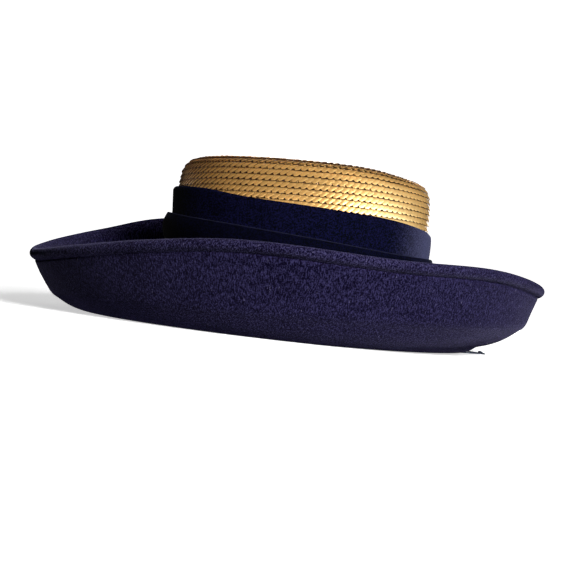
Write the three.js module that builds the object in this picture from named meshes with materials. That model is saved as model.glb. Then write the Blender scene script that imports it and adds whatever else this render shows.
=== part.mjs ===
// A wide-brim hat: upturned navy felt brim with a rolled lip, flat-topped oval crown of gold braid,
// two velvet folds round the foot of the crown, and a loop of thin elastic that lies on the surface.
// Millimetres, +Z up. The hat rests on z = 0, its front points to -X and the wearer's left is -Y.
import * as THREE from "three";

// Number of faces round each oval shell
const FACETS = 68;
// Play between two pieces that touch on the real hat
const SEAT_GAP = 0.3;

// Plan ovals, each with its centre along X and its two half sizes
const RIM_OVAL = { x: 0, a: 200, b: 190 };
const KNUCKLE_OVAL = { x: 4, a: 184.6, b: 168 };
const BELLY_OVAL = { x: 0, a: 148, b: 138 };
const CROWN_OVAL = { x: 6.75, a: 100.3, b: 81 };

// Felt brim: a shelf under the crown, a drop to the belly that lies on the surface, a knuckle, a wall
const FELT = 2.5;
const SHELF_WIDTH = 6;
const BELLY_LAND = 12;
const KNUCKLE_ROUND = 8;
const KNUCKLE_HEIGHT = 16.6;
const KNUCKLE_CLIMB = 0.0405;
// Bow of the under face from belly to knuckle: share of the way, depth at the sides, more at the back
const UNDER_BOW = { share: 0.45, depth: 2, back: 0.55 };
const DROP_STEPS = 4;
// Handles of the drop's curve, as shares of its run and its fall
const DROP_START = { run: 0.35, fall: 0.25 };
const DROP_END = { run: 0.45 };

// Rolled lip: how far each point of its section lies inside the rim and under the lip's top
const LIP_HEIGHT = 8;
const LIP_REACH = 4.1;
const LIP_ROLL = [
  { inside: 1.5, under: 8 },
  { inside: 0, under: 5.1 },
  { inside: 0.5, under: 2 },
  { inside: 2.8, under: 0 },
  { inside: 5.8, under: 0.2 },
  { inside: 7.2, under: 2.6 },
];

// Behind this X the belly of the brim leaves the surface, by BELLY_LIFT in the next 100 mm
const BELLY_LIFT_START = 17;
const BELLY_LIFT = 4.2;

// Heights of lines round the hat, by the turn in degrees from the front round by the wearer's left
const LIP_LINE = [
  { turn: 8, height: 45.5 },
  { turn: 24, height: 42.6 },
  { turn: 46, height: 47.8 },
  { turn: 64, height: 55 },
  { turn: 82, height: 60.7 },
  { turn: 110, height: 59.7 },
  { turn: 134, height: 62.4 },
  { turn: 163, height: 57.8 },
  { turn: 185, height: 58 },
  { turn: 215, height: 67 },
  { turn: 245, height: 79 },
  { turn: 275, height: 89 },
  { turn: 295, height: 91.5 },
  { turn: 310, height: 87.4 },
  { turn: 330, height: 69.2 },
  { turn: 350, height: 54.5 },
];
const BAND_TOP_LINE = [
  { turn: 0, height: 104.2 },
  { turn: 42, height: 101.4 },
  { turn: 66, height: 96.8 },
  { turn: 90, height: 94.8 },
  { turn: 130, height: 93 },
  { turn: 160, height: 90 },
  { turn: 190, height: 89 },
  { turn: 270, height: 97.5 },
  { turn: 320, height: 103 },
];
const FOLD_LINE = [
  { turn: 0, height: 84.5 },
  { turn: 40, height: 79 },
  { turn: 86, height: 73 },
  { turn: 128, height: 68.7 },
  { turn: 160, height: 69.2 },
  { turn: 190, height: 71 },
  { turn: 270, height: 77.5 },
  { turn: 320, height: 83.5 },
];

// How far the edge of the crown's tip rises over TIP_HEIGHT
const TIP_LINE = [
  { turn: 0, height: 0 },
  { turn: 62, height: 0.1 },
  { turn: 88, height: 0.7 },
  { turn: 106, height: 1.5 },
  { turn: 121, height: 1.5 },
  { turn: 134, height: 0.5 },
  { turn: 150, height: 0 },
  { turn: 200, height: 0 },
  { turn: 250, height: 0.5 },
  { turn: 290, height: 0.6 },
  { turn: 330, height: 0.1 },
];

// Plane of the head opening: height on the crown's axis, then rise per millimetre towards +X and +Y
const HEADLINE = { height: 50, alongX: -0.068, alongY: 0.03 };

// Braid crown. The foot of its top row lies on the corner of the tip.
const TIP_HEIGHT = 127;
const CROWN_WALL = 2;
const ROW_PITCH = 4.3;
const ROW_STEP = 0.7;
const ROW_UNDERCUT = 0.4;
const ROWS = 9;
const TOP_ROW_FOOT = 122.8;
const TIP_CORNER = { sides: 6.5, ends: 10.7 };
const TAPER_START = 98;
const TAPER = 2.3;
const TAPER_HEIGHT = 23;

// Velvet folds, and how far the lower one's foot stands outside the crown
const VELVET = 2.1;
const FOLD_EDGE = 1;
const UPPER_TUCK = 8;
const UPPER_SWELL = 0.6;
const LOWER_BULGE = 2.4;
const LOWER_FOOT = 3;

// Elastic
const ELASTIC = 1;
const ELASTIC_SIDES = 8;
const ELASTIC_STEPS = 80;
const ELASTIC_ROUTE = [
  [65, -61.9, 53],
  [65, -61.9, 38],
  [65.3, -61.8, 22],
  [66, -61.6, 9],
  [67.6, -61.2, 2.6],
  [70.6, -60.2, 0.8],
  [76, -57.8, 0.6],
  [88, -52.2, 0.6],
  [108, -41.5, 0.6],
  [128, -28.5, 0.6],
  [145, -16, 0.6],
  [155.5, -8, 0.6],
  [160, -2.5, 0.6],
  [160.2, 3, 0.6],
  [156, 9, 0.6],
  [145.5, 16.5, 0.6],
  [128, 29, 0.6],
  [108, 43, 0.6],
  [88, 54, 0.6],
  [76, 58.8, 0.6],
  [70.6, 60.6, 0.8],
  [67.6, 61.3, 2.6],
  [66, 61.7, 9],
  [65.3, 61.8, 22],
  [65, 61.9, 38],
  [65, 61.9, 53],
];

const felt = new THREE.MeshStandardMaterial({ color: 0x262346, roughness: 0.95, metalness: 0 });
const braid = new THREE.MeshStandardMaterial({ color: 0xc89a52, roughness: 0.35, metalness: 0.6 });
const velvet = new THREE.MeshStandardMaterial({ color: 0x0d1030, roughness: 0.9, metalness: 0 });
const thread = new THREE.MeshStandardMaterial({ color: 0x15151f, roughness: 0.7, metalness: 0 });

function grown(oval, by) {
  return { x: oval.x, a: oval.a + by, b: oval.b + by };
}

// A point of an oval at an angle from +X, at height z
function onOval(oval, angle, z) {
  return new THREE.Vector3(oval.x + oval.a * Math.cos(angle), oval.b * Math.sin(angle), z);
}

// Unit vector straight out of an oval at an angle from +X
function outOf(oval, angle) {
  return new THREE.Vector3(Math.cos(angle) / oval.a, Math.sin(angle) / oval.b, 0).normalize();
}

function headlineHeight(point) {
  return HEADLINE.height + HEADLINE.alongX * (point.x - CROWN_OVAL.x) + HEADLINE.alongY * point.y;
}

// Height of a line at an angle from +X, smooth through its rows and closed on itself
function lineHeight(line, angle) {
  const turn = (THREE.MathUtils.radToDeg(angle) + 540 - line[0].turn) % 360 + line[0].turn;
  const row = (i) => {
    const wraps = Math.floor(i / line.length);
    const { turn: at, height } = line[i - wraps * line.length];
    return { turn: at + 360 * wraps, height };
  };
  let i = line.length - 1;
  while (line[i].turn > turn) i -= 1;
  const [before, start, end, after] = [row(i - 1), row(i), row(i + 1), row(i + 2)];
  const span = end.turn - start.turn;
  const share = (turn - start.turn) / span;
  const startSlope = span * (end.height - before.height) / (end.turn - before.turn);
  const endSlope = span * (after.height - start.height) / (after.turn - start.turn);
  const rise = end.height - start.height;
  const cubic = startSlope + endSlope - 2 * rise;
  const square = 3 * rise - 2 * startSlope - endSlope;
  return start.height + share * (startSlope + share * (square + share * cubic));
}

function bellyHeight(x) {
  return BELLY_LIFT * (Math.max(0, x - BELLY_LIFT_START) / 100) ** 2;
}

// Rounds a corner of a path, as three points that start and end "reach" away from it
function roundCorner(before, corner, after, reach) {
  const start = corner.clone().lerp(before, reach / corner.distanceTo(before));
  const end = corner.clone().lerp(after, reach / corner.distanceTo(after));
  const curve = new THREE.QuadraticBezierCurve3(start, corner, end);
  return [start, curve.getPoint(0.5), end];
}

// Unit vector from the felt's under face to its upper one, where a section runs along a direction
function faceNormal(along, out) {
  return new THREE.Vector3(-along.z * out.x, -along.z * out.y, along.dot(out)).normalize();
}

// The felt's upper face: the under face's points moved across the wall
function acrossWall(points, out) {
  return points.map((point, i) => {
    const along = points[Math.min(i + 1, points.length - 1)].clone().sub(points[Math.max(i - 1, 0)]);
    return point.clone().addScaledVector(faceNormal(along, out), FELT);
  });
}

// One closed section of the brim: under the shelf, drop, belly, knuckle and wall, round the lip and back
function brimSection(angle) {
  const out = outOf(RIM_OVAL, angle);
  const headOval = grown(CROWN_OVAL, -ROW_STEP - CROWN_WALL);
  const shelfIn = onOval(headOval, angle, 0);
  const shelfOut = shelfIn.clone().addScaledVector(out, SHELF_WIDTH);
  shelfIn.z = headlineHeight(shelfIn);
  shelfOut.z = headlineHeight(shelfOut);
  const belly = onOval(BELLY_OVAL, angle, 0);
  const bellyIn = belly.clone().addScaledVector(out, -BELLY_LAND / 2);
  const bellyOut = belly.clone().addScaledVector(out, BELLY_LAND / 2);
  bellyIn.z = bellyHeight(bellyIn.x);
  bellyOut.z = bellyHeight(bellyOut.x);
  const knuckle = onOval(KNUCKLE_OVAL, angle, 0);
  knuckle.z = KNUCKLE_HEIGHT + KNUCKLE_CLIMB * knuckle.x;
  const top = lineHeight(LIP_LINE, angle);
  const wallTop = onOval(grown(RIM_OVAL, -LIP_REACH), angle, top - LIP_HEIGHT);

  const run = bellyIn.clone().sub(shelfOut).dot(out);
  const leaving = shelfOut.clone().addScaledVector(out, DROP_START.run * run);
  leaving.z -= DROP_START.fall * (shelfOut.z - bellyIn.z);
  const landing = bellyIn.clone().addScaledVector(out, -DROP_END.run * run);
  const rising = knuckle.clone().sub(bellyOut);
  const bow = UNDER_BOW.depth + UNDER_BOW.back * Math.cos(angle);
  const bowed = bellyOut.clone().lerp(knuckle, UNDER_BOW.share);
  bowed.addScaledVector(faceNormal(rising, out), -bow);
  const under = [
    shelfIn,
    ...new THREE.CubicBezierCurve3(shelfOut, leaving, landing, bellyIn).getPoints(DROP_STEPS),
    bellyOut,
    bowed,
    ...roundCorner(bowed, knuckle, wallTop, KNUCKLE_ROUND),
    wallTop,
  ];
  const lip = LIP_ROLL.map((point) => onOval(grown(RIM_OVAL, -point.inside), angle, top - point.under));
  return [...under, ...lip, ...acrossWall(under, out).reverse()];
}

// Half sizes of the crown's outside, over the edges of its rows, at height z
function crownOval(z) {
  const lean = Math.max(0, (z - TAPER_START) / TAPER_HEIGHT);
  return grown(CROWN_OVAL, -TAPER * lean * lean);
}

// One section of the crown: down the outside from the middle of the tip, round the foot, up the inside
function crownSection(angle) {
  const wallInset = ROW_STEP + CROWN_WALL;
  const corner = THREE.MathUtils.lerp(TIP_CORNER.sides, TIP_CORNER.ends, Math.cos(angle) ** 2);
  const cornerFoot = TIP_HEIGHT - corner;
  const cornerInset = (z) => {
    const climb = THREE.MathUtils.clamp(z - cornerFoot, 0, corner);
    return corner - Math.sqrt(corner ** 2 - climb ** 2);
  };
  const wallPoint = (z, inset) => onOval(grown(crownOval(z), -inset - cornerInset(z)), angle, z);
  const tipPoint = (share, z) =>
    onOval({ x: CROWN_OVAL.x, a: CROWN_OVAL.a * share, b: CROWN_OVAL.b * share }, angle, z);
  const wallTop = TIP_HEIGHT - TIP_CORNER.sides;
  const cornerPoint = (z, inset) => onOval(grown(crownOval(wallTop), -inset), angle, z);
  const tipInside = TIP_HEIGHT - CROWN_WALL;

  const section = [tipPoint(0, TIP_HEIGHT), tipPoint(0.5, TIP_HEIGHT)];
  for (const z of [TIP_HEIGHT, cornerFoot + corner * Math.SQRT1_2, wallTop]) {
    section.push(cornerPoint(z, cornerInset(z)));
  }
  for (let row = 1; row <= ROWS; row += 1) {
    const foot = TOP_ROW_FOOT - row * ROW_PITCH;
    if (row > 1) section.push(wallPoint(foot + ROW_PITCH - ROW_UNDERCUT, ROW_STEP));
    section.push(wallPoint(foot, 0));
  }
  const footOut = onOval(CROWN_OVAL, angle, 0);
  const footIn = onOval(grown(CROWN_OVAL, -wallInset), angle, 0);
  for (const foot of [footOut, footIn]) foot.z = headlineHeight(foot) + FELT + SEAT_GAP;
  section.push(footOut, footIn);
  section.push(wallPoint(TAPER_START, wallInset), wallPoint(TIP_HEIGHT - 3 * TIP_CORNER.sides, wallInset));
  section.push(cornerPoint(wallTop, wallInset + cornerInset(wallTop)));
  section.push(cornerPoint(tipInside, wallInset + corner / 2));
  section.push(tipPoint(0.5, tipInside), tipPoint(0, tipInside));

  const rise = lineHeight(TIP_LINE, angle) / (TIP_HEIGHT - TAPER_START);
  for (const point of section) {
    const share = Math.hypot((point.x - CROWN_OVAL.x) / CROWN_OVAL.a, point.y / CROWN_OVAL.b);
    point.z += rise * share * Math.max(0, point.z - TAPER_START);
  }
  return section.reverse();
}

// A section of a velvet fold: its rows give a drop below the fold's top and a reach outside the crown
function foldSection(angle, top, rows) {
  return rows.map(({ drop, out }) => onOval(grown(CROWN_OVAL, out), angle, top - drop)).reverse();
}

function upperSection(angle) {
  const top = lineHeight(BAND_TOP_LINE, angle);
  const foot = top - lineHeight(FOLD_LINE, angle) + UPPER_TUCK;
  const face = SEAT_GAP + VELVET;
  return foldSection(angle, top, [
    { drop: FOLD_EDGE / 2, out: SEAT_GAP + FOLD_EDGE / 2 },
    { drop: 0, out: SEAT_GAP + VELVET / 2 },
    { drop: FOLD_EDGE, out: face },
    { drop: 0.4 * foot, out: face + UPPER_SWELL },
    { drop: foot - FOLD_EDGE, out: face + UPPER_SWELL },
    { drop: foot, out: face - FOLD_EDGE / 2 },
    { drop: foot, out: SEAT_GAP + FOLD_EDGE / 2 },
    { drop: foot - FOLD_EDGE, out: SEAT_GAP },
    { drop: 2 * FOLD_EDGE, out: SEAT_GAP },
  ]);
}

function lowerSection(angle) {
  const top = lineHeight(FOLD_LINE, angle);
  const footDrop = (out) => top - headlineHeight(onOval(grown(CROWN_OVAL, out), angle, 0)) - FELT - SEAT_GAP;
  const foot = footDrop(LOWER_FOOT);
  const back = 2 * SEAT_GAP + VELVET + UPPER_SWELL;
  const face = back + VELVET;
  return foldSection(angle, top, [
    { drop: FOLD_EDGE / 3, out: back + FOLD_EDGE / 2 },
    { drop: 0, out: back + VELVET / 2 },
    { drop: FOLD_EDGE, out: face },
    { drop: 0.4 * foot, out: face + LOWER_BULGE },
    { drop: 0.7 * foot, out: face + 0.6 * LOWER_BULGE },
    { drop: foot, out: LOWER_FOOT },
    { drop: footDrop(LOWER_FOOT - VELVET), out: LOWER_FOOT - VELVET },
    { drop: 0.7 * foot, out: back + 0.6 * LOWER_BULGE },
    { drop: 0.4 * foot, out: back + LOWER_BULGE },
    { drop: 1.5 * FOLD_EDGE, out: back },
  ]);
}

// Joins a section at every step round the hat into one skin. A section closes on itself, or starts
// and ends at poles that every section shares. It runs anticlockwise with the outside to the right.
function shellOfSections(sectionAt, hasPoles = false) {
  const sections = [];
  for (let i = 0; i < FACETS; i += 1) sections.push(sectionAt((i / FACETS) * 2 * Math.PI));
  const size = sections[0].length;
  const positions = sections.flat().flatMap((point) => point.toArray());
  const index = [];
  for (let i = 0; i < FACETS; i += 1) {
    const here = i * size;
    const next = ((i + 1) % FACETS) * size;
    for (let j = 0; j < (hasPoles ? size - 1 : size); j += 1) {
      const k = (j + 1) % size;
      if (!hasPoles || k < size - 1) index.push(here + j, next + k, here + k);
      if (!hasPoles || j > 0) index.push(here + j, next + j, next + k);
    }
  }
  const geometry = new THREE.BufferGeometry();
  geometry.setAttribute("position", new THREE.Float32BufferAttribute(positions, 3));
  geometry.setIndex(index);
  geometry.computeVertexNormals();
  return geometry;
}

function elasticTube() {
  const route = new THREE.CatmullRomCurve3(ELASTIC_ROUTE.map((point) => new THREE.Vector3(...point)));
  const ring = new THREE.Shape();
  for (let i = 0; i < ELASTIC_SIDES; i += 1) {
    const angle = ((i + 0.5) / ELASTIC_SIDES) * 2 * Math.PI;
    const [x, y] = [Math.cos(angle) * ELASTIC / 2, Math.sin(angle) * ELASTIC / 2];
    if (i === 0) ring.moveTo(x, y);
    else ring.lineTo(x, y);
  }
  ring.closePath();
  return new THREE.ExtrudeGeometry(ring, { extrudePath: route, steps: ELASTIC_STEPS });
}

const hat = new THREE.Group();

function add(name, geometry, material) {
  const mesh = new THREE.Mesh(geometry, material);
  mesh.name = name;
  hat.add(mesh);
}

add("brim", shellOfSections(brimSection), felt);
add("crown", shellOfSections(crownSection, true), braid);
add("band_upper", shellOfSections(upperSection), velvet);
add("band_lower", shellOfSections(lowerSection), velvet);
add("hat_elastic", elasticTube(), thread);

export default hat;
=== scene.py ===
"""Dresses the frame of a wide-brim hat in felt, gold braid, velvet and elastic, and sets its stage."""

import math
import random

import bmesh
import bpy
from bpy.props import FloatProperty, FloatVectorProperty, IntProperty, PointerProperty
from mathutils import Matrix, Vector, noise


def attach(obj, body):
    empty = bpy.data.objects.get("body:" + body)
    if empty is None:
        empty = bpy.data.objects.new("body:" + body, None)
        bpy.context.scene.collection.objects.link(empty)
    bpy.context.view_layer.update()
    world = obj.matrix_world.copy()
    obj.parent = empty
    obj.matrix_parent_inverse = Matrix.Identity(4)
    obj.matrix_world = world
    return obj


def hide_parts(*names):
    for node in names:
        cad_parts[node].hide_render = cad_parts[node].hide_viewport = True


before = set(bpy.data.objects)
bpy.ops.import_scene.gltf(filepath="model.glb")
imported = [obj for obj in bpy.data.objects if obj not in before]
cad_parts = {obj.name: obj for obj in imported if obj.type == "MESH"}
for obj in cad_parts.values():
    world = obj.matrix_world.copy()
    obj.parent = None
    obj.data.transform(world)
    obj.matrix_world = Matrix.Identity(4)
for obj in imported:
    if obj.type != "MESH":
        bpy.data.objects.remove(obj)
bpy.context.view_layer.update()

bl_info = {
    "name": "Wide-Brim Hat",
    "version": (1, 0, 0),
    "blender": (4, 5, 0),
    "location": "3D View > Sidebar > Hat",
    "description": "Builds a felt hat with a gold braid crown and velvet folds round its frame",
    "category": "Object",
}

# Plan ovals in metres: the centre along X, and the two half sizes; and the way round the crown
RIM_OVAL = (0.0, 0.2, 0.19)
KNUCKLE_OVAL = (0.004, 0.1846, 0.168)
BELLY_OVAL = (0.0, 0.148, 0.138)
CROWN_OVAL = (0.00675, 0.1003, 0.081)
CROWN_ROUND = 0.573

# Heights of lines round the hat, by the turn in degrees from the front round by the wearer's left
LIP_LINE = (
    (8, 0.0455),
    (24, 0.0426),
    (46, 0.0478),
    (64, 0.055),
    (82, 0.0607),
    (110, 0.0597),
    (134, 0.0624),
    (163, 0.0578),
    (185, 0.058),
    (215, 0.067),
    (245, 0.079),
    (275, 0.089),
    (295, 0.0915),
    (310, 0.0874),
    (330, 0.0692),
    (350, 0.0545),
)
BAND_TOP_LINE = (
    (0, 0.1042),
    (42, 0.1014),
    (66, 0.0968),
    (90, 0.0948),
    (130, 0.093),
    (160, 0.09),
    (190, 0.089),
    (270, 0.0975),
    (320, 0.103),
)
FOLD_LINE = (
    (0, 0.0845),
    (40, 0.079),
    (86, 0.073),
    (128, 0.0687),
    (160, 0.0692),
    (190, 0.071),
    (270, 0.0775),
    (320, 0.0835),
)

TIP_LINE = (
    (0, 0.0),
    (62, 0.0001),
    (88, 0.0007),
    (106, 0.0015),
    (121, 0.0015),
    (134, 0.0005),
    (150, 0.0),
    (200, 0.0),
    (250, 0.0005),
    (290, 0.0006),
    (330, 0.0001),
)

# Head opening: height on the crown's axis, then rise for each metre towards +X and +Y
HEADLINE = (0.05, -0.068, 0.03)
# Shelf under the crown: how far inside the crown's outside it starts, its width, and the height of what
# stands on it over the line of the head opening
SHELF_INSET = 0.0027
SHELF_WIDTH = 0.006
SHELF_TOP = 0.0028
# Handles of the felt's curve from the shelf to the belly: shares of its run and, at the shelf, of its drop
SHELF_HANDLE = (0.35, 0.25)
BELLY_HANDLE = 0.45
# Belly that the hat lies on, and the knuckle where the felt turns up, higher towards the back
BELLY_LAND = 0.012
KNUCKLE_ROUND = 0.0055
KNUCKLE_HEIGHT = 0.0166
KNUCKLE_CLIMB = 0.0405
BELLY_LIFT_START = 0.017
BELLY_LIFT = 0.42
# How far the felt bows out under the knuckle and above it: at the sides, and added at the back
UNDER_BOW = (0.002, 0.00055)
WALL_BOW = (0.00025, -0.00045)
# Rings of a section: on the curve down to the belly, under the knuckle, round it and up the wall
DROP_RINGS = 9
UNDER_RINGS = (0, 0.2, 0.4, 0.6, 0.8)
KNUCKLE_RINGS = 4
WALL_RINGS = (0.2, 0.4, 0.6, 0.8, 0.93)
# Waves of the hand blocking: how many a metre holds, the height where they start and where they are full
BLOCKING = (22, 55)
BLOCKING_START = 0.004
BLOCKING_RISE = 0.02
# Gap between pieces that lie against each other
SEAT_GAP = 0.0003

# Rolled lip: points of its section, by how far inside the rim and under the lip's top they lie
LIP_ROLL = (
    (0.0046, 0.0090),
    (0.0051, 0.0085),
    (0.0047, 0.0081),
    (0.0036, 0.0078),
    (0.0024, 0.0072),
    (0.0012, 0.0064),
    (0.0004, 0.0052),
    (0.0, 0.0039),
    (0.0003, 0.0025),
    (0.0012, 0.0012),
    (0.0026, 0.0003),
    (0.0044, 0.0),
    (0.0060, 0.0005),
    (0.0071, 0.0016),
    (0.0077, 0.0032),
    (0.0078, 0.0049),
    (0.0074, 0.0064),
    (0.0069, 0.0076),
)
# How much taller the lip is at the front and at the back than at the sides, and how much paler its felt is
# painted there, as painted light on the upturned lip
LIP_ENDS = 0.1
LIP_LIGHT_GAIN = (1.3, 1.32, 1.13)

# Crown: steps round it, taper near the tip, and the rounding of its corner at the sides and the ends
CROWN_STEPS = 180
TAPER = 0.0023
TAPER_START = 0.098
TAPER_HEIGHT = 0.023
TIP_CORNER = (0.0065, 0.0107)
CORNER_ARC = TIP_CORNER[0] * math.pi / 2
TIP_REACH = CROWN_OVAL[2] - TAPER - TIP_CORNER[0]

# Rows of braid: foot of the top row, slope along the crown, the lowest row, the rows left out at the
# middle of the tip, how far a row's foot stands out over the row below, and how deep strands are set in
TOP_ROW_FOOT = 0.1228
ROW_TILT = 0.012
LOWEST_ROW = -9
MIDDLE_ROWS = 0.7
ROW_LAP = 0.0011
ROW_SEAT = 0.0014
# One strand: its sides, how square its ends are, the height of its edge, the inset and rise of its
# shoulder, the rise of its middle, its middle's place up the row, and the angle where its edges are sharp
STRAND_SIDES = 12
STRAND_SQUARE = 3.2
STRAND_EDGE = 0.6
STRAND_SHOULDER = (0.26, 0.28)
STRAND_MIDDLE = 0.12
STRAND_PLACE = 0.55
STRAND_CREASE = 50
# How far a strand strays out of the crown and up it
STRAND_STRAY = (0.00009, 0.00015)

# Crown's wall: how deep it lies under the braid, its share of the tip, the places of its rings and its
# ridges inside, one to each ring and gap
WALL_DEPTH = 0.0013
WALL_TIP_SHARE = 0.96
TIP_RINGS = (1, 0.7, 0.4, 0.15)
CORNER_RINGS = (1, 0.75, 0.5, 0.25, 0)
SIDE_RINGS = (0.008, 0.016, 0.024, 0.034, 0.046, 0.058)
INNER_SIDE_RINGS = 34
INNER_TIP_RINGS = 36
WALL_RIDGE = 0.0003

# Braid: where along X its painted shade between strands turns darker towards the front of the crown
FRONT_OF_CROWN = (-0.05, -0.08)
# Velvet: where along X a painted sheen pales the pile, and how far down a fold's painted edge highlight
# fades out
SHEEN_AT_BACK = (0.064, 0.112)
EDGE_HIGHLIGHT = (0.0021, 0.0013)

# Route of the elastic
ELASTIC_ROUTE = (
    (0.065, -0.0619, 0.053),
    (0.065, -0.0619, 0.038),
    (0.0653, -0.0618, 0.022),
    (0.066, -0.0616, 0.009),
    (0.0676, -0.0612, 0.0026),
    (0.0706, -0.0602, 0.0008),
    (0.076, -0.0578, 0.0006),
    (0.088, -0.0522, 0.0006),
    (0.108, -0.0415, 0.0006),
    (0.128, -0.0285, 0.0006),
    (0.145, -0.016, 0.0006),
    (0.1555, -0.008, 0.0006),
    (0.16, -0.0025, 0.0006),
    (0.1602, 0.003, 0.0006),
    (0.156, 0.009, 0.0006),
    (0.1455, 0.0165, 0.0006),
    (0.128, 0.029, 0.0006),
    (0.108, 0.043, 0.0006),
    (0.088, 0.054, 0.0006),
    (0.076, 0.0588, 0.0006),
    (0.0706, 0.0606, 0.0008),
    (0.0676, 0.0613, 0.0026),
    (0.066, 0.0617, 0.009),
    (0.0653, 0.0618, 0.022),
    (0.065, 0.0619, 0.038),
    (0.065, 0.0619, 0.053),
)
# Knot at the tip of the loop: its place, where its tails end from there, and their gap to the floor
KNOT_PLACE = (0.1606, 0.0003)
KNOT_TAILS = ((0.0035, -0.0022), (0.0038, 0.0016))
KNOT_STEPS = 16
TAIL_GAP = 0.0001
# In diameters of the elastic: the height of the knot's middle, its spread, its depth and its cord
KNOT_HEIGHT = 1.35
KNOT_SPREAD = 0.42
KNOT_DEPTH = 0.8
KNOT_CORD = 0.9

# Stage: its sides, the share of its radius that is flat, how it curves up in steps of some degrees, and
# how its light grows away from the hat
STAGE_SIDES = 96
STAGE_FLAT = 0.6
STAGE_CURVE = 0.5
CURVE_STEPS = 24
CURVE_STEP = 6
GLOW_NEAR = (0.55, 0.55, 0.55)
GLOW_AWAY = (0.25, 1.2)

# Lights: name, place, what it faces, width and height, whether only gloss shows it, and its tint
LIGHTS = (
    ("side_light", (0.72, -1.25, 0.58), (0, 0, 0.1), (0.5, 0.5), False, (1, 1, 1)),
    ("front_light", (1.15, -1.05, 0.46), (0, 0, 0.1), (1.3, 0.3), True, (0.62, 1, 1.6)),
    ("fill_light", (-0.9, -1.3, 0.45), (0, 0, 0.1), (1.2, 0.6), True, (1, 1, 1)),
    ("floor_light", (0.1, -0.25, -0.65), (-0.1, -0.05, 0), (0.4, 0.4), False, (1, 1, 1)),
    ("back_light", (0.3, 1.6, 0.2), (0, 0, 0.05), (1.4, 0.4), False, (1, 1, 1)),
    ("rim_light", (-1.3, 0.8, 0.35), (0, 0, 0.1), (0.8, 0.5), True, (1, 1, 1)),
)

# Camera at the wearer's left, level, with its top leaning a little to one side
CAMERA_PLACE = (0.0038, -0.75, 0.0335)
CAMERA_TURN = (90, -6.6, 0)
CAMERA_LENS = 58.19
CAMERA_SENSOR = 36
CAMERA_NEAR = 0.01


def length(name, description, default):
    return FloatProperty(name=name, description=description, default=default, unit="LENGTH", precision=5)


def colour(name, description, default):
    return FloatVectorProperty(
        name=name, description=description, default=default, subtype="COLOR", size=3, min=0, max=1
    )


def power(name, description, default):
    return FloatProperty(name=name, description=description, default=default, unit="POWER")


class HatBrimSizes(bpy.types.PropertyGroup):
    felt: length("Felt", "Thickness of the felt", 0.0025)
    reach: length("Lip reach", "How far the rolled lip stands out from the wall below it", 0.0041)
    fall: length("Lip height", "Height of the rolled lip", 0.008)
    wave: length("Hand blocking", "Height of the slight waves left by blocking the felt by hand", 0.0004)
    steps: IntProperty(name="Steps", description="Faces round the brim", default=200, min=24)
    shade: colour("Felt colour", "Navy of the felt's body", (0.0013, 0.0008, 0.006))
    nap: colour("Nap colour", "Lighter navy of the fibres that stand up", (0.0248, 0.0215, 0.066))
    hair: colour("Hair colour", "Pale stray hairs in the nap", (0.09, 0.08, 0.15))


class HatCrownSizes(bpy.types.PropertyGroup):
    tip: length("Tip height", "Height of the middle of the tip", 0.127)
    wall: length("Wall", "Thickness of the crown's wall under the braid", 0.0014)
    row: length("Row", "Distance from one row of braid to the next", 0.0043)
    strand: length("Strand", "Distance from one strand to the next along a row", 0.00492)
    strand_long: length("Strand length", "Half of a strand's length", 0.0039)
    strand_wide: length("Strand width", "Half of a strand's width", 0.002)
    strand_thick: length("Strand thickness", "Height of a strand over the wall", 0.00058)
    strand_lean: length("Strand lean", "How far a strand's lower edge stands out past its middle", 0.0006)
    slant: FloatProperty(
        name="Slant", description="Angle of a strand to its row", default=math.radians(38), subtype="ANGLE"
    )
    gold: colour("Gold", "Bright gold of the braid", (0.87, 0.47, 0.13))
    # Painted shade: the colour that the braid's tucked, lapped and sunk parts are painted with; the braid's
    # back uses it too
    shadow: colour("Painted shade gold", "Deep brown gold where a strand is tucked in", (0.06, 0.022, 0.009))


class HatBandSizes(bpy.types.PropertyGroup):
    velvet: length("Velvet", "Thickness of a fold of velvet", 0.0021)
    tuck: length("Tuck", "How far the upper fold runs down behind the lower one", 0.008)
    swell: length("Swell", "How far the upper fold swells out", 0.0006)
    bulge: length("Bulge", "How far the lower fold bulges out", 0.0024)
    foot: length("Foot", "How far the lower fold's foot stands outside the crown", 0.003)
    flare: length("Flare", "How far the folds stand off further at the front", 0.0014)
    lean: length("Lean", "How far the folds stand off further at the back", 0.001)
    shade: colour("Velvet colour", "Near black navy of the velvet", (0.0002, 0.0002, 0.0012))
    pile: colour("Pile colour", "Navy of the pile where it catches the light", (0.003, 0.003, 0.0185))
    # Painted sheen: the paler navy painted on the velvet towards the back of the crown, where the light
    # grazes it
    painted_sheen: colour("Painted sheen colour", "Paler navy of the pile brushed the other way", (0.05, 0.052, 0.104))


class HatElasticSizes(bpy.types.PropertyGroup):
    thick: length("Thickness", "Diameter of the elastic", 0.001)
    whole: length("Length", "Length of the whole loop", 0.33)
    shade: colour("Elastic colour", "Near black of the elastic's cover", (0.008, 0.008, 0.013))


class HatStageSizes(bpy.types.PropertyGroup):
    radius: length("Floor radius", "Distance from the hat to the wall of the stage", 3.2)
    paper: colour("Paper", "Pale colour of the floor and the wall", (0.9, 0.9, 0.9))
    glow: FloatProperty(name="Paper glow", description="Light that comes through the paper", default=1)
    side_light: power("Side light", "Soft light at the camera's right", 51)
    front_light: power("Front light", "Light at the camera's right that shows only in gloss", 112)
    fill_light: power("Fill light", "Light at the camera's left that shows only in gloss", 24)
    floor_light: power("Floor light", "Light that comes up through the floor", 2.4)
    back_light: power("Back light", "Light behind the hat", 16)
    rim_light: power("Rim light", "Light behind the hat, at the left, that shows only in gloss", 4)
    air: FloatProperty(name="Air light", description="Strength of the light from all round", default=0.035)


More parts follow.
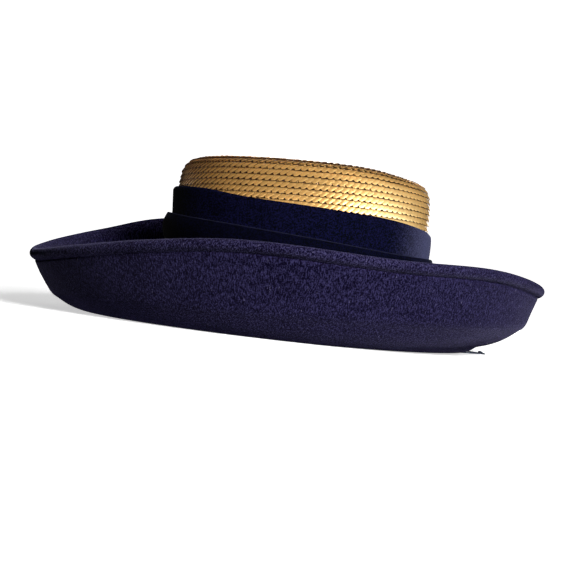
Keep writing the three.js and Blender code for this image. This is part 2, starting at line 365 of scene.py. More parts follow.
class Value:
    """What comes out of a node's socket. Arithmetic on a number adds Math nodes."""

    def __init__(self, finish, socket):
        self.finish = finish
        self.socket = socket

    def math(self, operation, *values):
        inputs = dict(enumerate(values))
        return self.finish.node("ShaderNodeMath", {"operation": operation}, inputs)[0]

    def __add__(self, other):
        return self.math("ADD", self, other)

    def __radd__(self, other):
        return self.math("ADD", other, self)

    def __sub__(self, other):
        return self.math("SUBTRACT", self, other)

    def __rsub__(self, other):
        return self.math("SUBTRACT", other, self)

    def __mul__(self, other):
        return self.math("MULTIPLY", self, other)

    def __rmul__(self, other):
        return self.math("MULTIPLY", other, self)


class Finish:
    """A material, with one method that adds any node to it. A node's outputs come by place and by name."""

    def __init__(self, name, constants):
        self.material = bpy.data.materials.new(name)
        self.material.use_nodes = True
        self.tree = self.material.node_tree
        self.shader = self.tree.nodes["Principled BSDF"]
        for socket, value in constants.items():
            self.shader.inputs[socket].default_value = value

    def fill(self, socket, value):
        if isinstance(value, Value):
            self.tree.links.new(value.socket, socket)
        elif socket.type == "RGBA" and len(value) == 3:
            socket.default_value = (*value, 1)
        else:
            socket.default_value = value

    def node(self, kind, settings, inputs):
        node = self.tree.nodes.new(kind)
        for name, value in settings.items():
            setattr(node, name, value)
        for name, value in inputs.items():
            self.fill(node.inputs[name], value)
        by_place = {i: Value(self, socket) for i, socket in enumerate(node.outputs)}
        by_name = {socket.name: Value(self, socket) for socket in node.outputs if socket.enabled}
        return {**by_place, **by_name}

    def set(self, socket, value):
        self.fill(self.shader.inputs[socket], value)

    def place(self):
        return self.node("ShaderNodeTexCoord", {}, {})["Object"]

    def along(self):
        return self.node("ShaderNodeUVMap", {"uv_map": "surface"}, {})["UV"]

    def split(self, vector):
        return self.node("ShaderNodeSeparateXYZ", {}, {"Vector": vector})

    def attribute(self, name):
        return self.node("ShaderNodeAttribute", {"attribute_name": name}, {})["Fac"]

    def turned(self, place, angle):
        inputs = {"Vector": place, "Rotation": (0, 0, math.radians(angle))}
        return self.node("ShaderNodeMapping", {}, inputs)["Vector"]

    def stretched(self, place, scale):
        inputs = {"Vector": place, "Scale": scale}
        return self.node("ShaderNodeMapping", {}, inputs)["Vector"]

    def noise(self, place, scale, detail=2, roughness=0.5):
        inputs = {"Vector": place, "Scale": scale, "Detail": detail, "Roughness": roughness}
        return self.node("ShaderNodeTexNoise", {}, inputs)["Fac"]

    def between(self, value, low, high):
        """Rises smoothly from 0 to 1 as value goes from low to high."""
        settings = {"interpolation_type": "SMOOTHSTEP"}
        inputs = {"Value": value, "From Min": low, "From Max": high}
        return self.node("ShaderNodeMapRange", settings, inputs)["Result"]

    def mix(self, share, first, second):
        """A colour between two others."""
        settings = {"data_type": "RGBA"}
        inputs = {0: share, 6: first, 7: second}
        return self.node("ShaderNodeMix", settings, inputs)[2]

    def most(self, first, *others):
        """The greatest of several values."""
        for other in others:
            first = first.math("MAXIMUM", first, other)
        return first

    def bump(self, height, distance, strength):
        inputs = {"Height": height, "Distance": distance, "Strength": strength}
        self.set("Normal", self.node("ShaderNodeBump", {}, inputs)["Normal"])


def scaled(shade, by):
    return tuple(by * part for part in shade)


def turns(steps):
    """The angle of each step round the hat."""
    return [2 * math.pi * step / steps for step in range(steps)]


def grown(oval, by):
    return (oval[0], oval[1] + by, oval[2] + by)


def on_oval(oval, angle, z):
    return Vector((oval[0] + oval[1] * math.cos(angle), oval[2] * math.sin(angle), z))


def out_of(oval, angle):
    return Vector((math.cos(angle) / oval[1], math.sin(angle) / oval[2], 0)).normalized()


def headline_height(point):
    return HEADLINE[0] + HEADLINE[1] * (point.x - CROWN_OVAL[0]) + HEADLINE[2] * point.y


def line_height(line, angle):
    """Height of a line at an angle from +X, smooth through its rows and closed on itself."""
    first = line[0][0]
    turn = (math.degrees(angle) + 540 - first) % 360 + first

    def row(i):
        wraps, at = divmod(i, len(line))
        return line[at][0] + 360 * wraps, line[at][1]

    i = max(i for i in range(len(line)) if line[i][0] <= turn)
    before, start, end, after = (row(i + step) for step in (-1, 0, 1, 2))
    span = end[0] - start[0]
    share = (turn - start[0]) / span
    start_slope = span * (end[1] - before[1]) / (end[0] - before[0])
    end_slope = span * (after[1] - start[1]) / (after[0] - start[0])
    rise = end[1] - start[1]
    cubic = start_slope + end_slope - 2 * rise
    square = 3 * rise - 2 * start_slope - end_slope
    return start[1] + share * (start_slope + share * (square + share * cubic))


def bezier(points, share):
    """A point of a Bezier curve with any number of control points."""
    while len(points) > 1:
        points = [a.lerp(b, share) for a, b in zip(points, points[1:])]
    return points[0]


def through(a, b, c, d, share):
    """A number that goes from b to c on a smooth curve that comes from a and goes on to d."""
    square = 2 * a - 5 * b + 4 * c - d
    cube = 3 * b - a - 3 * c + d
    return b + 0.5 * share * (c - a + share * (square + share * cube))


def rounded(points, per_span):
    """A closed smooth curve through points, each a tuple of numbers."""
    fine = []
    for i in range(len(points)):
        around = [points[(i + step) % len(points)] for step in (-1, 0, 1, 2)]
        for step in range(per_span):
            fine.append(tuple(through(*values, step / per_span) for values in zip(*around)))
    return fine


def deselect():
    if bpy.context.object and bpy.context.object.mode != "OBJECT":
        bpy.ops.object.mode_set(mode="OBJECT")
    bpy.ops.object.select_all(action="DESELECT")


def reaches(section):
    """How far each point of a section lies from its first one, along the section."""
    reach = [0.0]
    for before, after in zip(section, section[1:]):
        reach.append(reach[-1] + (after - before).length)
    return reach


def loft(name, sections, ends):
    """Extrudes a circle ring by ring into a skin through sections, one at each step round the hat.
    ends is "joined" where a section closes on itself, and "poles" where its two ends are points."""
    steps, rings = len(sections), len(sections[0])
    deselect()
    bpy.ops.mesh.primitive_circle_add(vertices=steps, radius=1)
    piece = bpy.context.object
    piece.name = piece.data.name = name
    bpy.ops.object.mode_set(mode="EDIT")
    bpy.ops.mesh.select_all(action="SELECT")
    for _ in range(rings - 1):
        bpy.ops.mesh.extrude_region_move(TRANSFORM_OT_translate={"value": (0, 0, 1)})
    shape = bmesh.from_edit_mesh(piece.data)
    surface = shape.loops.layers.uv.new("surface")
    reach = reaches(sections[0])
    step_of, ring_of = {}, {}
    for point in shape.verts:
        step_of[point] = round(math.atan2(point.co.y, point.co.x) / (2 * math.pi) * steps) % steps
        ring_of[point] = round(point.co.z)
    for face in shape.faces:
        wraps = max(step_of[point] for point in face.verts) > steps / 2
        for corner in face.loops:
            step = step_of[corner.vert]
            step = steps if wraps and step == 0 else step
            corner[surface].uv = (step / steps, reach[ring_of[corner.vert]])
    for point in shape.verts:
        point.co = sections[step_of[point]][ring_of[point]]
    bpy.ops.mesh.select_all(action="DESELECT")
    bpy.ops.mesh.select_mode(type="EDGE")
    for edge in shape.edges:
        edge.select = edge.is_boundary
    shape.select_flush_mode()
    bmesh.update_edit_mesh(piece.data)
    if ends == "joined":
        bpy.ops.mesh.bridge_edge_loops()
    else:
        bpy.ops.mesh.merge(type="COLLAPSE")
    bpy.ops.mesh.select_all(action="SELECT")
    bpy.ops.mesh.normals_make_consistent(inside=False)
    bpy.ops.object.mode_set(mode="OBJECT")
    bpy.ops.object.shade_smooth()
    return piece


def subdivide(piece, levels):
    modifier = piece.modifiers.new("Smooth", "SUBSURF")
    modifier.levels = modifier.render_levels = levels
    deselect()
    piece.select_set(True)
    bpy.context.view_layer.objects.active = piece
    bpy.ops.object.modifier_apply(modifier=modifier.name)


def settle(piece, finish, slot, *nodes):
    """Gives a piece its material, sets it on the hat and hides the nodes it stands for. The slot is not
    used.
    """
    piece.data.materials.clear()
    piece.data.materials.append(finish.material)
    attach(piece, "root")
    if nodes:
        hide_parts(*nodes)


def face_normal(way, out):
    """Direction from the felt's under face to its upper one, where a section runs along a way."""
    return Vector((-way.z * out.x, -way.z * out.y, way.dot(out))).normalized()


def brim_section(sizes, angle):
    """One closed section of the brim: shelf, drop, belly, knuckle and wall, round the lip and back."""
    out = out_of(RIM_OVAL, angle)
    shelf_in = on_oval(grown(CROWN_OVAL, -SHELF_INSET), angle, 0)
    shelf_out = shelf_in + SHELF_WIDTH * out
    for point in (shelf_in, shelf_out):
        point.z = headline_height(point)
    belly = on_oval(BELLY_OVAL, angle, 0)
    belly_in = belly - BELLY_LAND / 2 * out
    belly_out = belly + BELLY_LAND / 2 * out
    for point in (belly_in, belly_out):
        point.z = BELLY_LIFT * max(0, point.x - BELLY_LIFT_START) ** 2
    knuckle = on_oval(KNUCKLE_OVAL, angle, 0)
    knuckle.z = KNUCKLE_HEIGHT + KNUCKLE_CLIMB * knuckle.x
    top = line_height(LIP_LINE, angle)
    taller = 1 + LIP_ENDS * math.cos(angle) ** 2
    wall_top = on_oval(grown(RIM_OVAL, -sizes.reach), angle, top - taller * sizes.fall)

    run = (belly_in - shelf_out).dot(out)
    leaving = shelf_out + SHELF_HANDLE[0] * run * out
    leaving.z -= SHELF_HANDLE[1] * (shelf_out.z - belly_in.z)
    landing = belly_in - BELLY_HANDLE * run * out
    under = [shelf_in, shelf_in.lerp(shelf_out, 0.5)]
    drop = [shelf_out, leaving, landing, belly_in]
    under += [bezier(drop, step / DROP_RINGS) for step in range(DROP_RINGS + 1)]
    under.append(belly)
    round_in = knuckle.lerp(belly_out, KNUCKLE_ROUND / (belly_out - knuckle).length)
    round_out = knuckle.lerp(wall_top, KNUCKLE_ROUND / (wall_top - knuckle).length)

    def bowed(start, end, bow, share):
        depth = bow[0] + bow[1] * math.cos(angle)
        return start.lerp(end, share) - depth * 4 * share * (1 - share) * face_normal(end - start, out)

    under += [bowed(belly_out, round_in, UNDER_BOW, share) for share in UNDER_RINGS]
    bend = [round_in, knuckle, round_out]
    under += [bezier(bend, step / KNUCKLE_RINGS) for step in range(KNUCKLE_RINGS + 1)]
    under += [bowed(round_out, wall_top, WALL_BOW, share) for share in WALL_RINGS]
    lip = [on_oval(grown(RIM_OVAL, -inside), angle, top - taller * below) for inside, below in LIP_ROLL]

    above = []
    for i, point in enumerate(under):
        way = under[min(i + 1, len(under) - 1)] - under[max(i - 1, 0)]
        above.append(point + sizes.felt * face_normal(way, out))
    return under + lip + above[::-1]


def felt_finish(sizes, lip):
    """Felt with short slanted fibres and stray hairs, with painted light making it paler between the lip's
    two edges.
    """
    felt = Finish(
        "felt",
        {
            "Roughness": 0.95,
            "Specular IOR Level": 0,
            "Sheen Weight": 0.09,
            "Sheen Roughness": 0.45,
            "Sheen Tint": (0.5, 0.47, 0.8, 1),
        },
    )
    place, level = felt.place(), felt.stretched(felt.along(), (1.2, 1, 1))
    left = felt.noise(felt.stretched(felt.turned(level, 24), (1450, 420, 1)), 1, roughness=0.6)
    right = felt.noise(felt.stretched(felt.turned(level, -18), (1550, 440, 1)), 1, roughness=0.6)
    strays = felt.noise(felt.stretched(felt.turned(level, 10), (900, 210, 1)), 1, detail=1, roughness=0.4)
    fuzz = felt.noise(place, 1100, roughness=0.6)
    cloud = felt.noise(place, 30, detail=3, roughness=0.55)
    fibres = felt.most(left, right)
    light = felt.between(fibres * 0.6 + fuzz * 0.33 + cloud * 0.07, 0.475, 0.63)
    reach = felt.split(felt.along())["Y"]
    fade = 0.004
    # Painted light: the nap is painted paler between the lip's two edges, where the upturned lip faces the
    # light
    lip_light = felt.between(reach, lip[0], lip[0] + fade) * felt.between(reach, lip[1], lip[1] - fade)
    paler = tuple(part * gain for part, gain in zip(sizes.nap, LIP_LIGHT_GAIN))
    shade = felt.mix(light, sizes.shade, felt.mix(lip_light, sizes.nap, paler))
    hairs = felt.between(strays, 0.68, 0.76) * felt.between(fuzz, 0.45, 0.65)
    felt.set("Base Color", felt.mix(hairs * 0.7, shade, sizes.hair))
    felt.bump(fibres * 0.6 + fuzz * 0.4 + hairs * 0.3, distance=0.0007, strength=0.8)
    return felt


class OBJECT_OT_hat_brim(bpy.types.Operator):
    """Builds the upturned felt brim with its rolled lip"""

    bl_idname = "object.hat_brim"
    bl_label = "Felt Brim"

    def execute(self, context):
        sizes = context.scene.hat_brim
        sections = [brim_section(sizes, turn) for turn in turns(sizes.steps)]
        brim = loft("felt_brim", sections, "joined")
        reach = reaches(sections[0])
        lip_start = (len(reach) - len(LIP_ROLL)) // 2
        lip = (reach[lip_start], reach[lip_start + len(LIP_ROLL) - 1])
        for point in brim.data.vertices:
            wave = noise.noise(point.co * BLOCKING[0]) + 0.5 * noise.noise(point.co * BLOCKING[1])
            share = min(1, max(0, (point.co.z - BLOCKING_START) / BLOCKING_RISE))
            point.co += sizes.wave * wave * share * Vector((point.co.x, point.co.y, 0)).normalized()
        subdivide(brim, 1)
        settle(brim, felt_finish(sizes, lip), "felt", "brim")
        return {"FINISHED"}


def taper(z):
    return TAPER * (max(0, z - TAPER_START) / TAPER_HEIGHT) ** 2


def on_crown(tip, angle, up, out):
    """A point of the crown: up is measured along its outside from the foot of the tip's corner at the
    sides, over the corner and in across the tip, and out is measured square to the outside."""
    corner = TIP_CORNER[0] + (TIP_CORNER[1] - TIP_CORNER[0]) * math.cos(angle) ** 2
    corner_foot = tip - corner
    up += corner - TIP_CORNER[0]
    lean = min(max(up / corner, 0), math.pi / 2)
    inset = taper(min(tip - TIP_CORNER[0], corner_foot + up)) + corner * (1 - math.cos(lean))
    inset += max(0, up - corner * math.pi / 2) - out * math.cos(lean)
    z = corner_foot + min(up, 0) + corner * math.sin(lean) + out * math.sin(lean)
    point = on_oval(grown(CROWN_OVAL, -inset), angle, z)
    share = math.hypot((point.x - CROWN_OVAL[0]) / CROWN_OVAL[1], point.y / CROWN_OVAL[2])
    point.z += line_height(TIP_LINE, angle) * share * max(0, z - TAPER_START) / (tip - TAPER_START)
    return point


def braid_strand(sizes):
    """One slanted strand. Each point has its place along the row, up across it and out of the crown, then
    how far out of the strand it lies and how far across. Its marks are its place on the strand itself."""
    deselect()
    bpy.ops.mesh.primitive_circle_add(vertices=STRAND_SIDES, radius=1, fill_type="NGON")
    strand = bpy.context.object
    bpy.ops.object.mode_set(mode="EDIT")
    bpy.ops.mesh.select_all(action="SELECT")
    bpy.ops.mesh.extrude_region_move(TRANSFORM_OT_translate={"value": (0, 0, STRAND_EDGE)})
    bpy.ops.mesh.inset(thickness=STRAND_SHOULDER[0], depth=STRAND_SHOULDER[1])
    bpy.ops.mesh.poke(offset=STRAND_MIDDLE)
    bpy.ops.mesh.select_all(action="SELECT")
    bpy.ops.mesh.normals_make_consistent(inside=False)
    bpy.ops.object.mode_set(mode="OBJECT")
    points, marks = [], []
    sine, cosine = math.sin(sizes.slant), math.cos(sizes.slant)
    for point in strand.data.vertices:
        reach = math.hypot(point.co.x, point.co.y)
        corner = abs(point.co.x) ** STRAND_SQUARE + abs(point.co.y) ** STRAND_SQUARE
        square = reach / max(1e-9, corner ** (1 / STRAND_SQUARE))
        along = point.co.x * square * sizes.strand_long
        across = point.co.y * square * sizes.strand_wide
        up = along * sine + across * cosine + STRAND_PLACE * sizes.row
        out = point.co.z * sizes.strand_thick + ROW_LAP * (1 - up / sizes.row)
        out -= sizes.strand_lean * across / sizes.strand_wide
        points.append((along * cosine - across * sine, up, out, point.co.z, across / sizes.strand_wide))
        marks.append((along, across))
    faces = [tuple(face.vertices) for face in strand.data.polygons]
    bpy.data.objects.remove(strand)
    return points, marks, faces


def braid_rows(sizes):
    """Copies of one strand, laid along a spiral that climbs the crown and winds in over its tip."""
    points, marks, faces = braid_strand(sizes)
    chance = random.Random(7)
    places, corners, tones, climbs, rises, laps = [], [], [], [], [], []
    foot = TOP_ROW_FOOT - (sizes.tip - TIP_CORNER[0])
    turn = 2 * math.pi * LOWEST_ROW
    last = CORNER_ARC + TIP_REACH - MIDDLE_ROWS * sizes.row
    nudge = 0.001
    while foot + sizes.row * turn / (2 * math.pi) < last:
        angle = turn + math.pi
        rise = foot + sizes.row * turn / (2 * math.pi)
        upright = min(1, max(0, (CORNER_ARC - rise) / CORNER_ARC))
        tilt = ROW_TILT * CROWN_OVAL[1] * math.cos(angle) * upright
        here = on_crown(sizes.tip, angle, rise, 0)
        speed = (on_crown(sizes.tip, angle + nudge, rise, 0) - here).length / nudge
        lift = chance.uniform(-STRAND_STRAY[0], STRAND_STRAY[0])
        swing = chance.uniform(-STRAND_STRAY[1], STRAND_STRAY[1])
        base = len(places)
        for along, up, out, rise_out, lap in points:
            place_up = rise + tilt + up + swing
            place_out = out + lift - ROW_SEAT
            places.append(on_crown(sizes.tip, angle + along / speed, place_up, place_out))
            climbs.append(up / sizes.row)
            rises.append(rise_out)
            laps.append(lap)
        tone = chance.random()
        tones.extend([tone] * len(points))
        corners.extend(tuple(base + i for i in face) for face in faces)
        turn += sizes.strand / speed
    numbers = {"tone": tones, "up_the_row": climbs, "out_of_the_row": rises, "under_the_next": laps}
    return places, corners, marks, numbers


def braid_finish(sizes):
    """Gold braid with painted shade where strands are tucked in, lapped and sunk, most of all at the
    crown's front.
    """
    braid = Finish("gold_braid", {"Metallic": 0.75, "Coat Weight": 1, "Coat Roughness": 0.25})
    along = braid.along()
    tone = braid.attribute("tone")
    threads = braid.noise(braid.stretched(along, (140, 2600, 1)), 1)
    grain = braid.noise(braid.place(), 900, roughness=0.6)
    light = braid.between(threads * 0.5 + tone * 0.5, 0.15, 0.75)
    shade = braid.mix(light, scaled(sizes.gold, 0.88), sizes.gold)
    # Painted shade along the top of each row, where it is tucked under the row above
    tucked = braid.between(braid.attribute("up_the_row") + grain * 0.1, 0.74, 0.98)
    # Painted shade grows towards the front of the crown, where the light only grazes the braid
    front = braid.between(braid.split(braid.place())["X"], *FRONT_OF_CROWN)
    # Painted shade on the side of each strand that lies under the next one
    lapped_shade = braid.between(braid.attribute("under_the_next") + grain * 0.2 + front * 0.55, 0.5, 0.95)
    # Painted shade on the low sides of each strand
    sunk_shade = braid.between(braid.attribute("out_of_the_row"), 0.62, 0.4)
    # All of this painted shade mixes the gold towards the shade colour
    painted_shade = braid.most(tucked, lapped_shade * (0.45 + front * 0.4), sunk_shade)
    braid.set("Base Color", braid.mix(painted_shade, shade, sizes.shadow))
    braid.set("Roughness", 0.26 + grain * 0.14)
    braid.bump(threads * 0.7 + grain * 0.3, distance=0.00018, strength=0.8)
    return braid


def wall_section(sizes, angle):
    """One section of the crown's wall, from the middle of the tip down the outside and up the inside."""
    across = WALL_TIP_SHARE * TIP_REACH
    inner = -WALL_DEPTH - sizes.wall
    section = [on_crown(sizes.tip, angle, CORNER_ARC + across * share, -WALL_DEPTH) for share in TIP_RINGS]
    section += [on_crown(sizes.tip, angle, CORNER_ARC * share, -WALL_DEPTH) for share in CORNER_RINGS]
    section += [on_crown(sizes.tip, angle, -drop, -WALL_DEPTH) for drop in SIDE_RINGS]
    foot_out = on_oval(grown(CROWN_OVAL, -WALL_DEPTH), angle, 0)
    foot_in = on_oval(grown(CROWN_OVAL, inner), angle, 0)
    for foot in (foot_out, foot_in):
        foot.z = headline_height(foot) + SHELF_TOP
    section += [foot_out, foot_in]
    low = foot_in.z - (sizes.tip - TIP_CORNER[0])
    rises = [low + (CORNER_ARC - low) * step / INNER_SIDE_RINGS for step in range(1, INNER_SIDE_RINGS + 1)]
    rises += [CORNER_ARC + across * step / INNER_TIP_RINGS for step in range(1, INNER_TIP_RINGS + 1)]
    for step, rise in enumerate(rises, 1):
        section.append(on_crown(sizes.tip, angle, rise, inner - WALL_RIDGE * (step % 2)))
    return section


def back_finish(sizes):
    """The braid's back, seen inside the crown and in the gaps between the strands."""
    back = Finish("braid_back", {"Metallic": 0.55, "Roughness": 0.5})
    slant = back.turned(back.stretched(back.along(), (CROWN_ROUND, 1, 1)), 34)
    strands = {"Vector": slant, "Scale": 114, "Distortion": 1, "Detail": 0}
    slanted = back.node("ShaderNodeTexWave", {"wave_type": "BANDS", "bands_direction": "X"}, strands)["Fac"]
    grain = back.noise(back.place(), 700, roughness=0.6)
    light = back.between(slanted * 0.6 + grain * 0.4, 0.25, 0.6)
    back.set("Base Color", back.mix(light, sizes.shadow, scaled(sizes.gold, 0.6)))
    back.bump(slanted * 0.7 + grain * 0.3, distance=0.0005, strength=0.8)
    return back


class OBJECT_OT_hat_crown(bpy.types.Operator):
    """Builds the oval crown: its wall, and the slanted strands of gold braid that cover it"""

    bl_idname = "object.hat_crown"
    bl_label = "Braid Crown"

    def execute(self, context):
        sizes = context.scene.hat_crown
        wall = loft("crown_wall", [wall_section(sizes, turn) for turn in turns(CROWN_STEPS)], "poles")
        settle(wall, back_finish(sizes), "braid", "crown")

        places, corners, marks, numbers = braid_rows(sizes)
        mesh = bpy.data.meshes.new("braid_rows")
        mesh.from_pydata(places, [], corners)
        surface = mesh.uv_layers.new(name="surface")
        for corner in mesh.loops:
            surface.data[corner.index].uv = marks[corner.vertex_index % len(marks)]
        for name, values in numbers.items():
            mesh.attributes.new(name, "FLOAT", "POINT").data.foreach_set("value", values)
        rows = bpy.data.objects.new("braid_rows", mesh)
        context.scene.collection.objects.link(rows)
        deselect()
        rows.select_set(True)
        context.view_layer.objects.active = rows
        bpy.ops.object.shade_smooth_by_angle(angle=math.radians(STRAND_CREASE))
        settle(rows, braid_finish(sizes), "braid")
        return {"FINISHED"}


def band_section(angle, top, rows):
    return [on_oval(grown(CROWN_OVAL, out), angle, top - drop) for drop, out in rounded(rows, 3)]


def upper_section(sizes, angle):
    """One closed section of the upper fold, as drops below its top and reaches outside the crown."""
    top = line_height(BAND_TOP_LINE, angle)
    foot = top - line_height(FOLD_LINE, angle) + sizes.tuck
    face = SEAT_GAP + sizes.velvet
    swell = sizes.swell + sizes.lean * max(0, math.cos(angle)) ** 2
    flare = sizes.flare * max(0, -math.cos(angle)) ** 2
    rows = [
        (0.0004, SEAT_GAP + flare + 0.0004),
        (0.0, SEAT_GAP + flare + sizes.velvet / 2),
        (0.0006, face + flare - 0.0003),
        (0.0022, face + flare + 0.6 * swell),
        (0.2 * foot, face + 0.9 * swell + 0.75 * flare),
        (0.45 * foot, face + swell + 0.3 * flare),
        (0.7 * foot, face + 0.8 * swell),
        (foot - 0.001, face + 0.4 * swell),
        (foot, face - 0.0005),
        (foot, SEAT_GAP + 0.0005),
        (foot - 0.001, SEAT_GAP),
        (0.5 * foot, SEAT_GAP),
        (0.002, SEAT_GAP + flare),
    ]
    return band_section(angle, top, rows)


def lower_section(sizes, angle):
    """One closed section of the lower fold, which laps over the upper one and stands on the brim."""
    top = line_height(FOLD_LINE, angle)

    def drop_to_felt(out):
        return top - headline_height(on_oval(grown(CROWN_OVAL, out), angle, 0)) - SHELF_TOP

    foot = drop_to_felt(sizes.foot)
    back = 2 * SEAT_GAP + sizes.velvet + sizes.swell
    back += sizes.flare * max(0, -math.cos(angle)) ** 2 + sizes.lean * max(0, math.cos(angle)) ** 2
    face = back + sizes.velvet
    rows = [
        (0.0004, back + 0.0004),
        (0.0, back + sizes.velvet / 2),
        (0.0006, face - 0.0002),
        (0.0018, face + 0.15 * sizes.bulge),
        (0.2 * foot, face + 0.7 * sizes.bulge),
        (0.4 * foot, face + sizes.bulge),
        (0.6 * foot, face + 0.85 * sizes.bulge),
        (0.8 * foot, face + 0.2 * sizes.bulge),
        (foot, sizes.foot),
        (drop_to_felt(sizes.foot - sizes.velvet), sizes.foot - sizes.velvet),
        (0.8 * foot, back + 0.2 * sizes.bulge),
        (0.6 * foot, back + 0.85 * sizes.bulge),
        (0.4 * foot, back + sizes.bulge),
        (0.2 * foot, back + 0.6 * sizes.bulge),
        (0.0016, back),
    ]
    return band_section(angle, top, rows)


def velvet_finish(sizes, name, pile_light, painted_sheen, edge):
    """Velvet. Its pile shows as much as pile_light says. A painted sheen pales it at the back as much as
    the third argument says, and a painted highlight runs along the fold's top as much as edge says."""
    velvet = Finish(
        name,
        {
            "Roughness": 0.9,
            "Specular IOR Level": 0.01,
            "Sheen Weight": 0.12,
            "Sheen Roughness": 0.15,
            "Sheen Tint": (0.45, 0.47, 0.8, 1),
        },
    )
    place = velvet.place()
    pile = velvet.noise(place, 950, roughness=0.6)
    cloud = velvet.noise(place, 75, detail=3, roughness=0.6)
    light = velvet.between(pile * 0.85 + cloud * 0.15, 0.42, 0.62)
    shade = velvet.mix(light * pile_light, sizes.shade, sizes.pile)
    # Painted sheen: the velvet is painted paler towards the back of the crown, where the light grazes it
    back = velvet.between(velvet.split(place)["X"] + (pile - 0.5) * 0.03, *SHEEN_AT_BACK)
    # Painted highlight along the fold's top edge, where the turned edge catches the light
    edge_highlight = velvet.between(velvet.split(velvet.along())["Y"], *EDGE_HIGHLIGHT) * cloud * edge
    velvet.set("Base Color", velvet.mix(velvet.most(back * back * painted_sheen, edge_highlight), shade, sizes.painted_sheen))
    velvet.bump(pile * 0.6 + cloud * 0.4, distance=0.0004, strength=0.6)
    return velvet


class OBJECT_OT_hat_bands(bpy.types.Operator):
    """Builds the velvet folds round the foot of the crown"""

    bl_idname = "object.hat_bands"
    bl_label = "Velvet Folds"

    def execute(self, context):
        sizes = context.scene.hat_bands
        upper = loft("velvet_upper", [upper_section(sizes, turn) for turn in turns(CROWN_STEPS)], "joined")
        lower = loft("velvet_lower", [lower_section(sizes, turn) for turn in turns(CROWN_STEPS)], "joined")
        soft = velvet_finish(sizes, "velvet", pile_light=1, painted_sheen=0.8, edge=0)
        # Painted shade: the lower fold gets a darker copy of the velvet, with less of its pile showing, for
        # the shade it lies in
        shaded_velvet = velvet_finish(sizes, "velvet_pressed", pile_light=0.4, painted_sheen=0.06, edge=0.3)
        settle(upper, soft, "velvet", "band_upper")
        settle(lower, shaded_velvet, "velvet", "band_lower")
        return {"FINISHED"}


def elastic_finish(sizes):
    cover = Finish("elastic_cover", {"Roughness": 0.7, "Specular IOR Level": 0.25})
    twist = cover.node(
        "ShaderNodeTexWave",
        {"wave_type": "BANDS", "bands_direction": "DIAGONAL"},
        {"Vector": cover.place(), "Scale": 700, "Distortion": 1.5, "Detail": 1},
    )["Fac"]
    cover.set("Base Color", cover.mix(twist, sizes.shade, scaled(sizes.shade, 2.4)))
    cover.bump(twist, distance=0.00012, strength=0.8)
    return cover


def cord_along(name, route, thick):
    """A round cord on one smooth curve through a route's points."""
    line = bpy.data.curves.new(name, "CURVE")
    line.dimensions = "3D"
    line.bevel_depth = thick / 2
    line.bevel_resolution = 3
    line.resolution_u = 10
    line.use_fill_caps = True
    spline = line.splines.new("BEZIER")
    spline.bezier_points.add(len(route) - 1)
    for point, place in zip(spline.bezier_points, route):
        point.co = place
        point.handle_left_type = point.handle_right_type = "AUTO"
    cord = bpy.data.objects.new(name, line)
    bpy.context.scene.collection.objects.link(cord)
    return cord


def elastic_knot(sizes):
    """The small knot at the loop's tip: a tail, a trefoil of the elastic pulled tight, and a tail."""
    middle = Vector((*KNOT_PLACE, KNOT_HEIGHT * sizes.thick))
    down = TAIL_GAP - middle.z + sizes.thick / 2
    first, last = (middle + Vector((*tail, down)) for tail in KNOT_TAILS)
    route = [first]
    for step in range(1, KNOT_STEPS):
        turn = 2 * math.pi * step / KNOT_STEPS
        x = KNOT_SPREAD * (math.sin(turn) + 2 * math.sin(2 * turn))
        y = KNOT_SPREAD * (math.cos(turn) - 2 * math.cos(2 * turn))
        z = -KNOT_DEPTH * math.sin(3 * turn)
        route.append(middle + sizes.thick * Vector((x, y, z)))
    route.append(last)
    return cord_along("elastic_knot", route, KNOT_CORD * sizes.thick)


class OBJECT_OT_hat_elastic(bpy.types.Operator):
    """Lays the loop of thin elastic on the floor under the brim, with the knot at its tip"""

    bl_idname = "object.hat_elastic"
    bl_label = "Elastic"

    def execute(self, context):
        sizes = context.scene.hat_elastic
        elastic = cord_along("elastic", ELASTIC_ROUTE, sizes.thick)
        finish = elastic_finish(sizes)
        settle(elastic, finish, "elastic", "hat_elastic")
        knot = elastic_knot(sizes)
        settle(knot, finish, "elastic")
        return {"FINISHED"}


def add_light(name, place, aim, size, gloss_only, tint, strength):
    light = bpy.data.lights.new(name, "AREA")
    light.shape = "RECTANGLE"
    light.size, light.size_y = size
    light.energy = strength
    light.color = tint
    lamp = bpy.data.objects.new(name, light)
    lamp.location = place
    lamp.rotation_euler = (Vector(aim) - Vector(place)).to_track_quat("-Z", "Y").to_euler()
    lamp.visible_diffuse = not gloss_only
    bpy.context.scene.collection.objects.link(lamp)


def add_camera():
    camera = bpy.data.objects.new("photo_camera", bpy.data.cameras.new("photo_camera"))
    camera.data.lens = CAMERA_LENS
    camera.data.sensor_width = CAMERA_SENSOR
    camera.data.clip_start = CAMERA_NEAR
    camera.location = CAMERA_PLACE
    camera.rotation_euler = [math.radians(angle) for angle in CAMERA_TURN]
    bpy.context.scene.collection.objects.link(camera)
    bpy.context.scene.camera = camera


def paper_finish(sizes):
    """Pale paper that light comes through, a little less of it round the hat."""
    paper = Finish("pale_paper", {"Roughness": 1, "Specular IOR Level": 0, "Emission Strength": sizes.glow})
    paper.set("Base Color", sizes.paper)
    away = paper.node("ShaderNodeVectorMath", {"operation": "LENGTH"}, {0: paper.place()})["Value"]
    paper.set("Emission Color", paper.mix(paper.between(away, *GLOW_AWAY), GLOW_NEAR, (1, 1, 1)))
    return paper


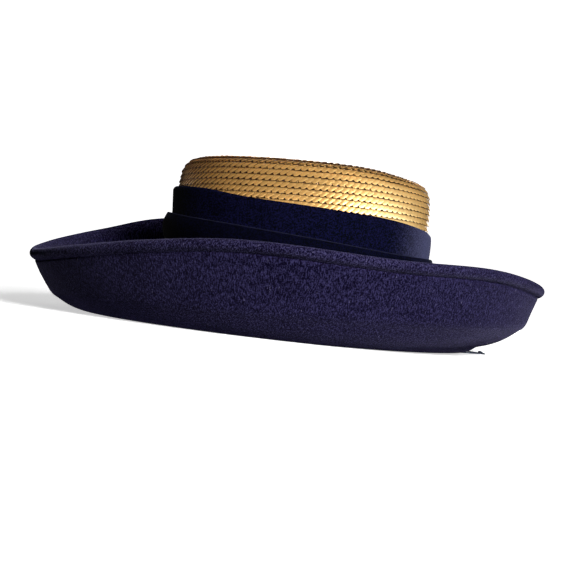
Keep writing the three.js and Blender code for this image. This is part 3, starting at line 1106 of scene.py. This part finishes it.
def stage_floor(sizes):
    """A round floor that curves up into a wall on all sides."""
    deselect()
    flat_radius = STAGE_FLAT * sizes.radius
    bpy.ops.mesh.primitive_circle_add(vertices=STAGE_SIDES, radius=flat_radius, fill_type="NGON")
    floor = bpy.context.object
    floor.name = "stage_floor"
    shape = bmesh.new()
    shape.from_mesh(floor.data)
    edge_ring = [edge for edge in shape.edges if edge.is_boundary]
    for step in range(1, CURVE_STEPS + 1):
        lean = math.radians(CURVE_STEP * step)
        made = bmesh.ops.extrude_edge_only(shape, edges=edge_ring)["geom"]
        edge_ring = [part for part in made if isinstance(part, bmesh.types.BMEdge)]
        radius = sizes.radius * (STAGE_FLAT + STAGE_CURVE * math.sin(lean))
        for point in {point for edge in edge_ring for point in edge.verts}:
            flat = radius * Vector((point.co.x, point.co.y, 0)).normalized()
            point.co = (flat.x, flat.y, STAGE_CURVE * sizes.radius * (1 - math.cos(lean)))
    shape.to_mesh(floor.data)
    shape.free()
    deselect()
    floor.select_set(True)
    bpy.context.view_layer.objects.active = floor
    bpy.ops.object.shade_smooth()
    return floor


class OBJECT_OT_hat_stage(bpy.types.Operator):
    """Sets the pale floor and its wall, the soft light and the camera"""

    bl_idname = "object.hat_stage"
    bl_label = "Stage"

    def execute(self, context):
        sizes = context.scene.hat_stage
        floor = stage_floor(sizes)
        floor.data.materials.append(paper_finish(sizes).material)
        floor.visible_diffuse = floor.visible_glossy = floor.visible_shadow = False

        world = bpy.data.worlds.new("studio_air")
        context.scene.world = world
        world.use_nodes = True
        air = world.node_tree.nodes["Background"]
        air.inputs["Color"].default_value = (1, 1, 1, 1)
        air.inputs["Strength"].default_value = sizes.air
        for name, *rest in LIGHTS:
            add_light(name, *rest, getattr(sizes, name))
        add_camera()
        context.scene.view_settings.view_transform = "Standard"
        return {"FINISHED"}


class VIEW3D_PT_hat(bpy.types.Panel):
    """Lists the hat's pieces and their sizes"""

    bl_label = "Wide-Brim Hat"
    bl_space_type = "VIEW_3D"
    bl_region_type = "UI"
    bl_category = "Hat"

    def draw(self, context):
        for group, operator in PARTS:
            box = self.layout.box()
            sizes = getattr(context.scene, group)
            for name in sizes.__annotations__:
                box.prop(sizes, name)
            box.operator(operator)


# The hat's pieces in the order that they are made: a group of sizes and its operator
PARTS = (
    ("hat_stage", "object.hat_stage"),
    ("hat_elastic", "object.hat_elastic"),
    ("hat_brim", "object.hat_brim"),
    ("hat_crown", "object.hat_crown"),
    ("hat_bands", "object.hat_bands"),
)
GROUPS = {
    "hat_stage": HatStageSizes,
    "hat_elastic": HatElasticSizes,
    "hat_brim": HatBrimSizes,
    "hat_crown": HatCrownSizes,
    "hat_bands": HatBandSizes,
}
OPERATORS = (
    OBJECT_OT_hat_stage,
    OBJECT_OT_hat_elastic,
    OBJECT_OT_hat_brim,
    OBJECT_OT_hat_crown,
    OBJECT_OT_hat_bands,
)


def register():
    for group, sizes in GROUPS.items():
        bpy.utils.register_class(sizes)
        setattr(bpy.types.Scene, group, PointerProperty(type=sizes))
    for kind in (*OPERATORS, VIEW3D_PT_hat):
        bpy.utils.register_class(kind)


def unregister():
    for kind in (*OPERATORS, VIEW3D_PT_hat):
        bpy.utils.unregister_class(kind)
    for group, sizes in GROUPS.items():
        delattr(bpy.types.Scene, group)
        bpy.utils.unregister_class(sizes)


def main():
    register()
    bpy.ops.object.hat_stage()
    bpy.ops.object.hat_elastic()
    bpy.ops.object.hat_brim()
    bpy.ops.object.hat_crown()
    bpy.ops.object.hat_bands()


if __name__ == "__main__":
    main()
